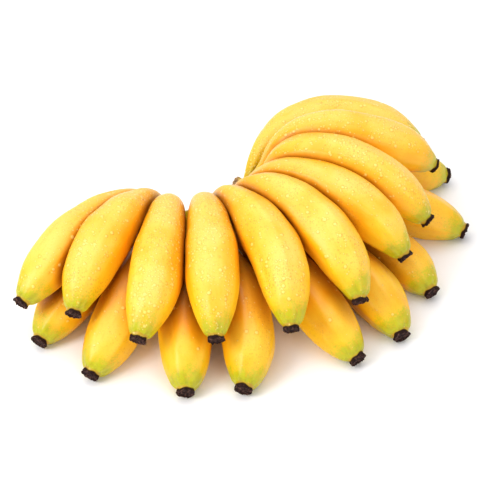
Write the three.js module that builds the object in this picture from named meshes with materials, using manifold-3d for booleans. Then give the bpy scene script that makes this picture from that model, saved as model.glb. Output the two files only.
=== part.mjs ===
// A bunch of small ripe bananas lying on its lower row: a curved crown, ten bananas in an upper row
// that arch up and out of it, and nine in a lower row that spread underneath.
// Millimetres, +Z up, the ground at z = 0. The tips point towards -Y and round towards +X.
// Every banana is one grown piece, from its stalk to the dry blossom end, and the crown is another.

import * as THREE from "three";
import Module from "manifold-3d";

const { Manifold, Mesh: SolidMesh } = await loadKernel();

// ---------- sizes (millimetres) and bearings (degrees, anticlockwise from +X) ----------

const GAP = 0.35; // each side of a place where two pieces would touch
const ARC_CENTRE = { x: -37, y: 66 }; // the middle of the arc that the crown follows
const ROOT_RADIUS = 40; // from that middle to the roots of the stalks
const UPPER_ROOT_HEIGHT = 25;
const LOWER_ROOT_HEIGHT = 12;

// Share of the way out along the ground, and share of the height from root to crest.
const RISE = [[0, 0], [0.04, 0.42], [0.12, 0.8], [0.34, 1]];
// Share of the way out, and share of the drop from crest to tip.
const UPPER_FALL = [[0.6, 0.1], [0.82, 0.45], [1, 1]];
const LOWER_FALL = [[0.6, 0.2], [0.82, 0.6], [1, 1]];

// Radius of a banana by its distance from the root: the stalk, then the swelling fruit.
const STALK_RADII = [[0, 5.5], [4, 4.4], [20, 4.8], [36, 8.2], [54, 12.8], [78, 16.2]];
// Distance from the root at which a banana that swells early is thickest for it, and how soon that
// fades before and after (the distance over which it falls to a third).
const SWELL_AT = 34;
const SWELL_SPREAD = 15;
// Radius by distance from the tip: the dry blossom stub, then the blunt green end of the fruit.
const UPPER_STUB_RADII = [[0, 4.9], [1.7, 5.4], [3.2, 5.2]];
const UPPER_END_RADII = [[4.2, 6.9], [7, 8.1], [11, 9.6], [16, 11.6], [24, 13.9], [34, 15.5], [46, 16.3]];
const LOWER_STUB_RADII = [[0, 5.3], [1.7, 5.9], [3.2, 5.7]];
const LOWER_END_RADII = [[4.2, 7.6], [7, 9.1], [11, 10.9], [16, 12.9], [24, 14.9], [34, 16], [46, 16.5]];
const BLOSSOM_HOLLOW = 1; // how far the middle of the blossom stub is sunk

// The rings of points that each banana's skin runs through: where they are from the root and from
// the tip, and how many are spread evenly between those.
const RINGS_FROM_ROOT = [0, 6, 14, 23, 33, 43, 54, 66];
const RINGS_BETWEEN = 2;
const RINGS_FROM_TIP = [46, 35, 25, 17, 11, 7.2, 4.4, 3, 0];
const SIDES = 15;
const RIDGES = 5;
const RIDGE_DEPTH = 0.02; // share of the radius
const RIDGE_TURN = 2.4; // how far the ridges are turned from one banana to the next (radians)
const RIDGE_STARTS = 10; // distances from either end between which the ridges fade in
const RIDGE_FULL = 25;
const PATH_STEPS = 30; // spaces between the points that each middle line is drawn through
const LENGTH_STEPS = 400; // steps in which a middle line's length is measured
const PRESS_STEP = 2; // between the places along a banana that its neighbours press against
const PRESS_PASSES = 4; // how often each point is moved back, as one move can meet another neighbour
const LEAST_SLOPE = 0.5; // keeps a point that lies sideways to its neighbour from moving too far

// Each banana: its bearings from the arc's middle at the crest, at the shoulder and at the tip, the
// distance of the tip from that middle, and the heights of its middle line at the tip and the crest.
// Steepness is 1 unless given: below 1 the banana leans further out as it climbs from the crown, and
// above 1 it climbs more steeply.
// Swell is 0 unless given: the share by which the banana is thicker soon after its stalk.
const UPPER = [
  { crest: 230.5, shoulder: 232.5, tip: 233, reach: 163, tipHeight: 34, crestHeight: 48 },
  { crest: 242, shoulder: 243.7, tip: 245.3, reach: 156, tipHeight: 36, crestHeight: 54 },
  { crest: 261, shoulder: 262, tip: 261, reach: 165, tipHeight: 36, crestHeight: 52, swell: 0.34 },
  { crest: 280, shoulder: 277.5, tip: 277, reach: 164, tipHeight: 36, crestHeight: 54, swell: 0.22 },
  { crest: 298.5, shoulder: 295.3, tip: 292.5, reach: 167, tipHeight: 36, crestHeight: 57 },
  { crest: 313, shoulder: 312, tip: 309, reach: 168, tipHeight: 36, crestHeight: 61, steepness: 0.7 },
  { crest: 327, shoulder: 327.7, tip: 326.2, reach: 164, tipHeight: 36, crestHeight: 61, steepness: 0.7 },
  { crest: 342, shoulder: 341.2, tip: 340, reach: 163, tipHeight: 35, crestHeight: 65, steepness: 0.5 },
  { crest: 358, shoulder: 359, tip: 360, reach: 162, tipHeight: 36, crestHeight: 64, steepness: 0.6 },
  { crest: 390, shoulder: 380.5, tip: 372.5, reach: 161, tipHeight: 26, crestHeight: 38, steepness: 2 },
];
const LOWER = [
  { crest: 235, shoulder: 236, tip: 236.5, reach: 162, tipHeight: 6, crestHeight: 21 },
  { crest: 251, shoulder: 252, tip: 251, reach: 172, tipHeight: 6, crestHeight: 23 },
  { crest: 268, shoulder: 270.5, tip: 270.5, reach: 177, tipHeight: 6, crestHeight: 25 },
  { crest: 285, shoulder: 285, tip: 281.5, reach: 178, tipHeight: 6, crestHeight: 25 },
  { crest: 303.5, shoulder: 305, tip: 305, reach: 183, tipHeight: 6, crestHeight: 25 },
  { crest: 319, shoulder: 319, tip: 315.5, reach: 186, tipHeight: 6, crestHeight: 25 },
  { crest: 334, shoulder: 333, tip: 329.5, reach: 180, tipHeight: 6, crestHeight: 25 },
  { crest: 350, shoulder: 351, tip: 350, reach: 185, tipHeight: 6, crestHeight: 25 },
  { crest: 366, shoulder: 368, tip: 368.5, reach: 178, tipHeight: 6, crestHeight: 25 },
];
const UPPER_FIRST_ROOT = 232; // bearing of the first root, and the step from one root to the next
const UPPER_ROOT_STEP = 13;
const LOWER_FIRST_ROOT = 238;
const LOWER_ROOT_STEP = 13.5;
const CREST_SHARE = 0.36; // shares of the way out at which the crest and the shoulder lie
const SHOULDER_SHARE = 0.8;

// The crown is a bar along the arc: its outline across the arc, as distance from the arc's middle
// and height.
const CROWN_OUTLINE = [
  [30, 0],
  [35, 0],
  [40, 1.5],
  [43, 6],
  [43.5, 12],
  [42.5, 18],
  [41, 21.5],
  [38, 24.5],
  [34, 26],
  [30.5, 25],
  [28.5, 21],
  [28, 14],
  [28.5, 6],
];
const CROWN_FROM = 222;
const CROWN_TO = 358;
const CROWN_STEPS = 26;
const CROWN_ROUNDING = 8; // degrees of arc over which each end of the bar rounds off
const CROWN_LIFT_FROM = 325; // bearing from which the bar stands higher towards its second end
const CROWN_LIFT = 0.16; // and by which share
const CROWN_END_SIZE = 0.45; // share of the outline that is left at the very ends
const CROWN_FLUTE = 1.4; // how far the bar is drawn in between two stalks
const FLUTE_STARTS = 1; // degrees from a stalk's root between which the flute deepens
const FLUTE_FULL = 5;
const SOCKET_SIDES = 9;
const SOCKET_RINGS = 4; // how many rings of each stalk are kept clear of the crown

const PEEL = { color: "#f3c234", roughness: 0.45, metalness: 0 };
const SHADED_PEEL = { color: "#eeb01e", roughness: 0.5, metalness: 0 };
const CROWN_SKIN = { color: "#8d7442", roughness: 0.85, metalness: 0 };

// ---------- helpers ----------

async function loadKernel() {
  const module = await Module();
  module.setup();
  return module;
}

// The value of a list of [place, value] pairs at a place, straight between the pairs.
function along(pairs, place) {
  if (place <= pairs[0][0]) return pairs[0][1];
  for (let i = 1; i < pairs.length; i++) {
    const [before, low] = pairs[i - 1];
    const [after, high] = pairs[i];
    if (place <= after) return low + ((place - before) / (after - before)) * (high - low);
  }
  return pairs[pairs.length - 1][1];
}

// The point at a bearing and distance from the arc's middle.
function onArc(bearing, distance, height) {
  const angle = THREE.MathUtils.degToRad(bearing);
  return new THREE.Vector3(
    ARC_CENTRE.x + distance * Math.cos(angle),
    ARC_CENTRE.y + distance * Math.sin(angle),
    height,
  );
}

// The value at a share of the way, on the smooth curve through [share, value] pairs (Lagrange's rule).
function through(pairs, share) {
  return pairs.reduce((sum, [place, value]) => {
    const others = pairs.filter(([other]) => other !== place);
    return sum + others.reduce((term, [other]) => (term * (share - other)) / (place - other), value);
  }, 0);
}

// The middle line of a banana: it climbs steeply out of the crown, arches over and comes down
// towards its tip, its bearing swinging from that of its root to that of its tip on the way.
function middleLine(banana, row, order) {
  const { crest, shoulder, tip, reach, tipHeight, crestHeight, steepness = 1 } = banana;
  const climbShare = RISE[RISE.length - 1][0];
  const root = row.firstRoot + order * row.rootStep;
  const run = reach - ROOT_RADIUS;
  // The swing is quickest on the steep climb, so it runs with the square root of the way out.
  const bearings = [
    [0, root],
    [Math.sqrt(CREST_SHARE), crest],
    [Math.sqrt(SHOULDER_SHARE), shoulder],
    [1, tip],
  ];
  const climb = RISE.map(([out, up]) => {
    const share = climbShare * (out / climbShare) ** steepness;
    return new THREE.Vector3(share * run, 0, row.rootHeight + up * (crestHeight - row.rootHeight));
  });
  const descent = row.fall.map(([out, down]) => {
    return new THREE.Vector3(out * run, 0, crestHeight - down * (crestHeight - tipHeight));
  });
  const profile = new THREE.CatmullRomCurve3([...climb, ...descent]);
  const points = profile.getSpacedPoints(PATH_STEPS).map((point) => {
    const bearing = through(bearings, Math.sqrt(Math.max(point.x, 0) / run));
    return onArc(bearing, ROOT_RADIUS + point.x, point.z);
  });
  return new THREE.CatmullRomCurve3(points);
}

function centreOf(points) {
  return points.reduce((sum, p) => sum.add(p), new THREE.Vector3()).divideScalar(points.length);
}

// A closed skin over rings of points, each ring with the same number of points, with a point to
// close each end.
function skin(rings, startPole, endPole) {
  const count = rings[0].length;
  const points = [...rings.flat(), startPole, endPole];
  const faces = [];
  for (let i = 0; i < rings.length - 1; i++) {
    for (let j = 0; j < count; j++) {
      const a = i * count + j;
      const b = i * count + ((j + 1) % count);
      faces.push(a, b, a + count, b, b + count, a + count);
    }
  }
  const last = (rings.length - 1) * count;
  for (let j = 0; j < count; j++) {
    const next = (j + 1) % count;
    faces.push(next, j, points.length - 2);
    faces.push(last + j, last + next, points.length - 1);
  }
  const coordinates = points.flatMap((point) => point.toArray());
  const geometry = new THREE.BufferGeometry();
  geometry.setAttribute("position", new THREE.Float32BufferAttribute(coordinates, 3));
  geometry.setIndex(faces);
  return geometry;
}

function solidOf(geometry) {
  return new Manifold(
    new SolidMesh({
      numProp: 3,
      vertProperties: new Float32Array(geometry.getAttribute("position").array),
      triVerts: new Uint32Array(geometry.index.array),
    }),
  );
}

function geometryOf(solid) {
  const mesh = solid.getMesh();
  const geometry = new THREE.BufferGeometry();
  geometry.setAttribute("position", new THREE.Float32BufferAttribute(mesh.vertProperties, 3));
  geometry.setIndex(Array.from(mesh.triVerts));
  return geometry;
}

// ---------- bananas ----------

// Everything about one banana's shape before its neighbours press on it.
function grow(banana, row, order) {
  const line = middleLine(banana, row, order);
  line.arcLengthDivisions = LENGTH_STEPS;
  const length = line.getLength();
  const lastFromRoot = RINGS_FROM_ROOT[RINGS_FROM_ROOT.length - 1];
  const space = (length - RINGS_FROM_TIP[0] - lastFromRoot) / (RINGS_BETWEEN + 1);
  const stations = [...RINGS_FROM_ROOT];
  for (let i = 1; i <= RINGS_BETWEEN; i++) stations.push(lastFromRoot + i * space);
  stations.push(...RINGS_FROM_TIP.map((distance) => length - distance));
  const swell = banana.swell ?? 0;
  const radiusAt = (distance) => {
    const swollen = 1 + swell * Math.exp(-(((distance - SWELL_AT) / SWELL_SPREAD) ** 2));
    return Math.min(along(STALK_RADII, distance) * swollen, along(row.tipRadii, length - distance));
  };
  const middle = stations.map((distance) => line.getPointAt(distance / length));
  const across = [];
  const above = [];
  stations.forEach((distance) => {
    const tangent = line.getTangentAt(distance / length);
    const side = new THREE.Vector3(0, 0, 1).cross(tangent).normalize();
    across.push(side);
    above.push(tangent.clone().cross(side));
  });
  const samples = [];
  for (let distance = 0; distance <= length; distance += PRESS_STEP) {
    samples.push({ point: line.getPointAt(distance / length), radius: radiusAt(distance) });
  }
  return { line, length, stations, radiusAt, middle, across, above, samples, turn: order * RIDGE_TURN };
}

// How far a point is outside a banana's swept shape, as the smallest difference of squares, and the
// middle point that gives it.
function power(point, shape) {
  let best = Infinity;
  let nearest = null;
  shape.samples.forEach((sample) => {
    const value = point.distanceToSquared(sample.point) - sample.radius * sample.radius;
    if (value < best) {
      best = value;
      nearest = sample;
    }
  });
  return { value: best, nearest };
}

// Where two bananas would run into each other both are pressed flat: a point that has crossed the
// surface half way between them moves back towards its own middle line.
function pressed(point, middle, own, neighbours) {
  const moved = point.clone();
  for (let pass = 0; pass < PRESS_PASSES; pass++) {
    neighbours.forEach((shape) => {
      const mine = power(moved, own);
      const theirs = power(moved, shape);
      const between = mine.nearest.point.distanceTo(theirs.nearest.point);
      const over = mine.value - theirs.value + 2 * between * GAP;
      if (over <= 0) return;
      const back = middle.clone().sub(moved).normalize();
      const towards = theirs.nearest.point.clone().sub(mine.nearest.point);
      const slope = -2 * back.dot(towards);
      moved.addScaledVector(back, over / Math.max(slope, between * LEAST_SLOPE));
    });
  }
  return moved;
}

function bananaGeometry(shape, neighbours) {
  const rings = shape.stations.map((distance, i) => {
    const fromEnd = Math.min(distance, shape.length - distance);
    const ridge = RIDGE_DEPTH * THREE.MathUtils.smoothstep(fromEnd, RIDGE_STARTS, RIDGE_FULL);
    const ring = [];
    for (let j = 0; j < SIDES; j++) {
      const angle = (2 * Math.PI * j) / SIDES;
      const radius = shape.radiusAt(distance) * (1 + ridge * Math.cos(RIDGES * angle + shape.turn));
      const point = shape.middle[i].clone();
      point.addScaledVector(shape.across[i], radius * Math.cos(angle));
      point.addScaledVector(shape.above[i], radius * Math.sin(angle));
      const settled = pressed(point, shape.middle[i], shape, neighbours);
      settled.z = Math.max(settled.z, 0);
      ring.push(settled);
    }
    return ring;
  });
  const tangent = shape.line.getTangentAt(1);
  const hollow = shape.middle[shape.middle.length - 1].clone().addScaledVector(tangent, -BLOSSOM_HOLLOW);
  return skin(rings, shape.middle[0], hollow);
}

// The first part of a stalk, grown by the gap all round: the room it needs in the crown.
function socket(shape) {
  const rings = [];
  const stations = [-GAP, ...RINGS_FROM_ROOT.slice(1, SOCKET_RINGS)];
  stations.forEach((distance) => {
    const at = THREE.MathUtils.clamp(distance, 0, shape.length) / shape.length;
    const tangent = shape.line.getTangentAt(at);
    const middle = shape.line.getPointAt(at).addScaledVector(tangent, Math.min(distance, 0));
    const side = new THREE.Vector3(0, 0, 1).cross(tangent).normalize();
    const above = tangent.clone().cross(side);
    const radius = shape.radiusAt(distance) + GAP;
    const ring = [];
    for (let j = 0; j < SOCKET_SIDES; j++) {
      const angle = (2 * Math.PI * j) / SOCKET_SIDES;
      const reach = radius / Math.cos(Math.PI / SOCKET_SIDES);
      const point = middle.clone();
      point.addScaledVector(side, reach * Math.cos(angle));
      point.addScaledVector(above, reach * Math.sin(angle));
      ring.push(point);
    }
    rings.push(ring);
  });
  return solidOf(skin(rings, centreOf(rings[0]), centreOf(rings[rings.length - 1])));
}

// ---------- crown ----------

// The bar that all the stalks grow from, fluted a little between the stalks and rounded off at
// both ends.
function crownBar() {
  const middle = CROWN_OUTLINE.reduce((sum, [d, h]) => [sum[0] + d, sum[1] + h], [0, 0]);
  const centre = middle.map((value) => value / CROWN_OUTLINE.length);
  const rings = [];
  for (let i = 0; i <= CROWN_STEPS; i++) {
    const bearing = CROWN_FROM + ((CROWN_TO - CROWN_FROM) * i) / CROWN_STEPS;
    const fromEnd = Math.min(bearing - CROWN_FROM, CROWN_TO - bearing);
    const share = THREE.MathUtils.clamp(fromEnd / CROWN_ROUNDING, 0, 1);
    const size = CROWN_END_SIZE + (1 - CROWN_END_SIZE) * Math.sqrt(1 - (1 - share) * (1 - share));
    const rootsAlong = (bearing - UPPER_FIRST_ROOT) / UPPER_ROOT_STEP;
    const offRoot = Math.abs(rootsAlong - Math.round(rootsAlong)) * UPPER_ROOT_STEP;
    const flute = CROWN_FLUTE * THREE.MathUtils.smoothstep(offRoot, FLUTE_STARTS, FLUTE_FULL);
    const lift = 1 + CROWN_LIFT * THREE.MathUtils.smoothstep(bearing, CROWN_LIFT_FROM, CROWN_TO);
    rings.push(
      CROWN_OUTLINE.map(([distance, height]) => {
        const drawnIn = distance > centre[0] ? flute : 0;
        const d = centre[0] + (distance - centre[0] - drawnIn) * size;
        const h = height === 0 ? 0 : centre[1] + (height - centre[1]) * size;
        return onArc(bearing, d, h * lift);
      }),
    );
  }
  const facingOut = rings.map((ring) => ring.reverse());
  return solidOf(skin(facingOut, centreOf(rings[0]), centreOf(rings[CROWN_STEPS])));
}

// ---------- the bunch ----------

function part(name, geometry, look) {
  const mesh = new THREE.Mesh(geometry, new THREE.MeshStandardMaterial(look));
  mesh.name = name;
  return mesh;
}

const upperRow = {
  rootHeight: UPPER_ROOT_HEIGHT,
  firstRoot: UPPER_FIRST_ROOT,
  rootStep: UPPER_ROOT_STEP,
  fall: UPPER_FALL,
  tipRadii: [...UPPER_STUB_RADII, ...UPPER_END_RADII],
};
const lowerRow = {
  rootHeight: LOWER_ROOT_HEIGHT,
  firstRoot: LOWER_FIRST_ROOT,
  rootStep: LOWER_ROOT_STEP,
  fall: LOWER_FALL,
  tipRadii: [...LOWER_STUB_RADII, ...LOWER_END_RADII],
};
const upperShapes = UPPER.map((banana, i) => grow(banana, upperRow, i));
const lowerShapes = LOWER.map((banana, i) => grow(banana, lowerRow, i));
const shapes = [...upperShapes, ...lowerShapes];
const others = (shape) => shapes.filter((other) => other !== shape);

const bunch = new THREE.Group();
bunch.name = "banana_bunch";
upperShapes.forEach((shape, i) => {
  const name = `upper_banana_${String(i + 1).padStart(2, "0")}`;
  bunch.add(part(name, bananaGeometry(shape, others(shape)), PEEL));
});
lowerShapes.forEach((shape, i) => {
  const name = `lower_banana_${String(i + 1).padStart(2, "0")}`;
  bunch.add(part(name, bananaGeometry(shape, others(shape)), SHADED_PEEL));
});
const cut = shapes.reduce((solid, shape) => solid.subtract(socket(shape)), crownBar());
// Thin slivers between two stalks that the cuts have set free are left out.
const [crown] = cut.decompose().sort((one, other) => other.volume() - one.volume());
bunch.add(part("crown", geometryOf(crown), CROWN_SKIN));

// The origin goes to the middle of the bunch's own box, on the ground.
const box = new THREE.Box3().setFromObject(bunch);
bunch.position.set(-(box.min.x + box.max.x) / 2, -(box.min.y + box.max.y) / 2, -box.min.z);
bunch.updateMatrixWorld(true);

export default bunch;
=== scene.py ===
"""A bunch of small ripe bananas: an upper and a lower row of fruit fanning out of one shared crown.

Metres, +Z up, the ground at z = 0. The add-on grows each banana's peel over its solid from the
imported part, builds the crown, and sets the floor, the lights and the camera.
"""

import math
from functools import reduce

import bmesh
import bpy
import numpy as np
from mathutils import Matrix, Vector


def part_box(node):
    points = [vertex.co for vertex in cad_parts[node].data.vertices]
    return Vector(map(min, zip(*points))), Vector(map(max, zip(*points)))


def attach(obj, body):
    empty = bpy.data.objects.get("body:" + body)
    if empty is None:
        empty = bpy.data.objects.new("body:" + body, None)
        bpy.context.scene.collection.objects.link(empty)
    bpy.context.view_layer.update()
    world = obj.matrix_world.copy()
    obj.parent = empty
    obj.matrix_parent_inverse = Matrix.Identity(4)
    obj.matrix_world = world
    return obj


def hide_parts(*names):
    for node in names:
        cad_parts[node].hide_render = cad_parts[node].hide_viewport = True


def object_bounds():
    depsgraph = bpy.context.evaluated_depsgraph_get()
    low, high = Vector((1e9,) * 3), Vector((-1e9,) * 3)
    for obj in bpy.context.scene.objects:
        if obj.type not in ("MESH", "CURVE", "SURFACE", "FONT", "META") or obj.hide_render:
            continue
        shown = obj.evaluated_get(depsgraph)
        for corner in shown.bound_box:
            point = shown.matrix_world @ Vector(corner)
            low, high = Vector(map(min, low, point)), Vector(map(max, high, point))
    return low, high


bl_info = {
    "name": "Banana Bunch",
    "version": (1, 0, 0),
    "blender": (4, 5, 0),
    "location": "3D View > Sidebar > Bananas",
    "description": "Grows a bunch of small bananas with its crown, and sets a pale studio round it",
    "category": "Object",
}

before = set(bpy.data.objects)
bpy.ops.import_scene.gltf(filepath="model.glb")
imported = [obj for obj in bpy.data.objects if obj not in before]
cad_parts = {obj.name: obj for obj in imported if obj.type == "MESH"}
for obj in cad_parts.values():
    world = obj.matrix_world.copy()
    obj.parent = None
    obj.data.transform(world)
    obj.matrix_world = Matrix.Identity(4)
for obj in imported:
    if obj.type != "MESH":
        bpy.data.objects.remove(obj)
CAD_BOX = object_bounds()

MM = 0.001
UPPER_NODES = sorted(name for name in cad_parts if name.startswith("upper_banana"))
LOWER_NODES = sorted(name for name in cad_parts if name.startswith("lower_banana"))
CROWN_NODE = "crown"

# ---------- grid of a peel ----------

SIDES_AROUND = 96
NEAR_TIP = 14 * MM  # the stretch by the blossom end that gets close rows
TIP_ROW = 0.3 * MM
PLAIN_ROW = 1.0 * MM
END_ROWS = 12  # rows that close the blossom end from its rim to its middle
HEADING_ROWS = 12  # rows at the blossom end that say which way it points
WELD = 2e-6  # points of a solid that are nearer than this are one
SLIGHT = 1e-9  # keeps a normal's length off zero
OPEN_ROOM = 20 * MM  # the room given to a banana's two ends, which nothing is beside
PATTERN_SHIFT = 0.5  # how far apart two bananas' patterns start, so that no two are alike

# ---------- relief of a peel ----------

RIDGES = 5.0
RIDGE_MEAN = 0.35  # the share of a ridge's height that comes off all round
RIDGE_WANDER = 0.075  # radians that the ridges swing to and fro
RIDGE_WANDER_LENGTH = 38 * MM
DENT_HEIGHT, DENT_SIZE = 0.3 * MM, 34 * MM
GRAIN_HEIGHT, GRAIN_SIZE = 0.05 * MM, 5 * MM
PLEAT_HEIGHT, FINE_PLEAT_HEIGHT, FINE_PLEATS = 0.28 * MM, 0.12 * MM, 11.0
STALK_RIDGE_HEIGHT = 0.22 * MM
WAIST_DEPTH, WAIST_AT, WAIST_SPREAD = 0.6 * MM, 6.0 * MM, 2.6 * MM
# Where these begin and are full, as distances from the root or from the blossom end.
BODY_FROM_ROOT = (20 * MM, 45 * MM)
BODY_FROM_TIP = (4 * MM, 26 * MM)
PLEATS_FROM_BODY = (16 * MM, 6 * MM)
PLEATS_FROM_STUB = (2.2 * MM, 4.2 * MM)
STALK_FROM_BODY = (34 * MM, 14 * MM)

# ---------- relief of a dry stub ----------

STUB_SWAY, STUB_RAGS = 0.22, 0.14  # how uneven the stub's edge is, as shares of its length
STUB_BLEND = 0.35 * MM
GROOVE_DEPTH, GROOVE_SPREAD = 0.3 * MM, 0.55 * MM
STUB_RISE = 0.1 * MM
LUMP_HEIGHT, LUMP_SIZE = 0.2 * MM, 3.2 * MM
KNOT_HEIGHT, KNOT_SIZE = 0.16 * MM, 1.3 * MM
SPLIT_HEIGHT, SPLITS, SPLIT_SWAY = 0.22 * MM, 6.0, 0.8
# Over the end the rim is a lip at a share of the way inwards, torn by noise.
LIP_AT, LIP_SPREAD = 0.16, 0.13
LIP_HEIGHT, TEAR_HEIGHT, TEAR_SIZE = 0.45 * MM, 0.4 * MM, 2.2 * MM
KNOB_HEIGHT, KNOB_EDGE = 0.6 * MM, (0.6, 0.95)
CRUST_HEIGHT, CRUST_SIZE = 0.22 * MM, 1.2 * MM


# ---------- numbers and noise ----------


def smooth_step(low, high, value):
    """0 below low, 1 above high, and the cubic 3t^2 - 2t^3 between them. Works downwards if low > high."""
    t = np.clip((value - low) / (high - low), 0.0, 1.0)
    return t * t * (3.0 - 2.0 * t)


WAVES = 28
WAVE_LENGTHS = (0.7, 1.6)  # least and most, as shares of the size asked for
WAVE_LEVEL = 0.7


def wave_noise(points, size, seed):
    """Smooth noise of about -1 to 1: a sum of sine waves of length about size, each in a random direction
    and with a random start. Points are rows of x, y, z."""
    rng = np.random.default_rng(seed)
    direction = rng.normal(size=(WAVES, 3))
    direction /= np.linalg.norm(direction, axis=1, keepdims=True)
    length = size * rng.uniform(*WAVE_LENGTHS, WAVES)
    start = rng.uniform(0.0, 2.0 * math.pi, WAVES)
    phase = points @ (direction / length[:, None] * 2.0 * math.pi).T + start
    return np.sin(phase).sum(axis=-1) * math.sqrt(2.0 / WAVES) * WAVE_LEVEL


def spline_weights(knots, places, closed=False):
    """The matrix that turns values at the knots into values at the places, on the cubic spline through
    them: A y0 + B y1 + ((A^3 - A) m0 + (B^3 - B) m1) h^2 / 6, with the second derivatives m solved so
    that the slope is continuous. A closed spline joins its last knot to its first."""
    count = len(knots)
    unit = np.eye(count)
    if closed:
        period = knots[-1] + (knots[1] - knots[0])
        ends = np.append(knots, period)
        values = np.vstack([unit, unit[:1]])
        h = np.diff(ends)
        before = np.roll(h, 1)
        left = np.diag(2.0 * (h + before))
        left += np.roll(np.diag(h), 1, axis=1) + np.roll(np.diag(before), -1, axis=1)
        rise = (np.roll(unit, -1, axis=0) - unit) / h[:, None]
        bend = np.linalg.solve(left, 6.0 * (rise - np.roll(rise, 1, axis=0)))
        bend = np.vstack([bend, bend[:1]])
        places = np.mod(places, period)
    else:
        ends, values = knots, unit
        h = np.diff(knots)
        left = np.eye(count)
        inner = np.arange(1, count - 1)
        left[inner, inner - 1] = h[:-1]
        left[inner, inner] = 2.0 * (h[:-1] + h[1:])
        left[inner, inner + 1] = h[1:]
        rise = np.diff(unit, axis=0) / h[:, None]
        right = np.zeros((count, count))
        right[1:-1] = 6.0 * np.diff(rise, axis=0)
        bend = np.linalg.solve(left, right)
    at = np.clip(np.searchsorted(ends, places, side="right") - 1, 0, len(ends) - 2)
    b = ((places - ends[at]) / h[at])[:, None]
    a = 1.0 - b
    curve = (a**3 - a) * bend[at] + (b**3 - b) * bend[at + 1]
    return a * values[at] + b * values[at + 1] + curve * (h[at] ** 2)[:, None] / 6.0


# ---------- reading a banana's solid ----------


def rings_of(node):
    """The rings of a banana's solid as an array (ring, place round the ring, xyz) from the crown to the
    tip, and the points that close its two ends. A ring is all the points that are equally many edges
    away from the point at the root; a face with two corners on one ring and one on the next says which
    corner follows which."""
    shell = bmesh.new()
    shell.from_mesh(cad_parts[node].data)
    bmesh.ops.remove_doubles(shell, verts=shell.verts, dist=WELD)
    shell.verts.index_update()
    points = np.array([vertex.co for vertex in shell.verts])
    faces = np.array([[vertex.index for vertex in face.verts] for face in shell.faces])
    shell.free()
    uses = np.bincount(faces.ravel())
    poles = np.argsort(uses)[-2:]
    low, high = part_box(CROWN_NODE)
    crown_middle = np.array((low + high) / 2.0)
    apart = np.linalg.norm(points[poles] - crown_middle, axis=1)
    root, tip = poles[np.argsort(apart)]
    level = np.full(len(points), len(points))
    level[root] = 0
    ends = np.vstack([faces[:, [0, 1]], faces[:, [1, 2]], faces[:, [2, 0]]])
    ends = np.vstack([ends, ends[:, ::-1]])
    while level.max() == len(points):
        np.minimum.at(level, ends[:, 1], level[ends[:, 0]] + 1)
    ring_count = level[tip] - 1
    side_count = int((level == 1).sum())
    of_face = level[faces]
    onward = np.full(len(points), -1)
    outward = np.full(len(points), -1)
    for turn in range(3):
        corner = np.roll(faces, turn, axis=1)
        rank = np.roll(of_face, turn, axis=1)
        steps = (rank[:, 0] == rank[:, 1]) & (rank[:, 2] == rank[:, 0] + 1)
        onward[corner[steps, 0]] = corner[steps, 1]
        outward[corner[steps, 0]] = corner[steps, 2]
    order = [int(np.flatnonzero(level == 1)[0])]
    for _ in range(side_count - 1):
        order.append(int(onward[order[-1]]))
    rows = [np.array(order)]
    for _ in range(ring_count - 1):
        rows.append(outward[rows[-1]])
    return points[np.array(rows)], points[root], points[tip]


def spine_of(node):
    """Rows of x, y, z and radius along a banana's middle line: one for each ring, one halfway to the
    next."""
    rings, _, _ = rings_of(node)
    middle = rings.mean(axis=1)
    radius = np.linalg.norm(rings - middle[:, None], axis=2).mean(axis=1)
    line = np.column_stack([middle, radius])
    halfway = (line[1:] + line[:-1]) / 2.0
    return np.vstack([line, halfway])


def room_beside(grid, node, spines):
    """How far each point p of a banana's grid is from the nearest other banana: the least of |p - q| - r
    over the rows q, r of the others' spines, with |p - q|^2 = p.p + q.q - 2 p.q."""
    others = np.vstack([spine for name, spine in spines.items() if name != node])
    points = grid.reshape(-1, 3)
    places, radii = others[:, :3], others[:, 3]
    squares = (points**2).sum(axis=1)[:, None] + (places**2).sum(axis=1)
    gap = np.sqrt(np.maximum(squares - 2.0 * points @ places.T, 0.0)) - radii
    return gap.min(axis=1).reshape(grid.shape[:2])


# ---------- surfaces ----------


def grid_faces(rows, columns):
    """Four-cornered faces of a grid whose last column joins its first."""
    i, j = np.meshgrid(np.arange(rows - 1), np.arange(columns), indexing="ij")
    k = (j + 1) % columns
    corners = [i * columns + j, i * columns + k, (i + 1) * columns + k, (i + 1) * columns + j]
    return np.stack(corners, axis=-1).reshape(-1, 4)


def fan_faces(ring_start, columns, pole, flip):
    """Three-cornered faces from a ring to one point."""
    j = np.arange(columns)
    k = (j + 1) % columns
    pair = [ring_start + j, ring_start + k] if flip else [ring_start + k, ring_start + j]
    return np.stack([*pair, np.full(columns, pole)], axis=-1)


def grid_normals(grid):
    """Unit normals of a closed grid: the cross product of its steps round and along."""
    around = np.roll(grid, -1, axis=1) - np.roll(grid, 1, axis=1)
    lengthwise = np.gradient(grid, axis=0)
    normal = np.cross(around, lengthwise)
    return normal / np.maximum(np.linalg.norm(normal, axis=-1, keepdims=True), SLIGHT)


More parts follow.
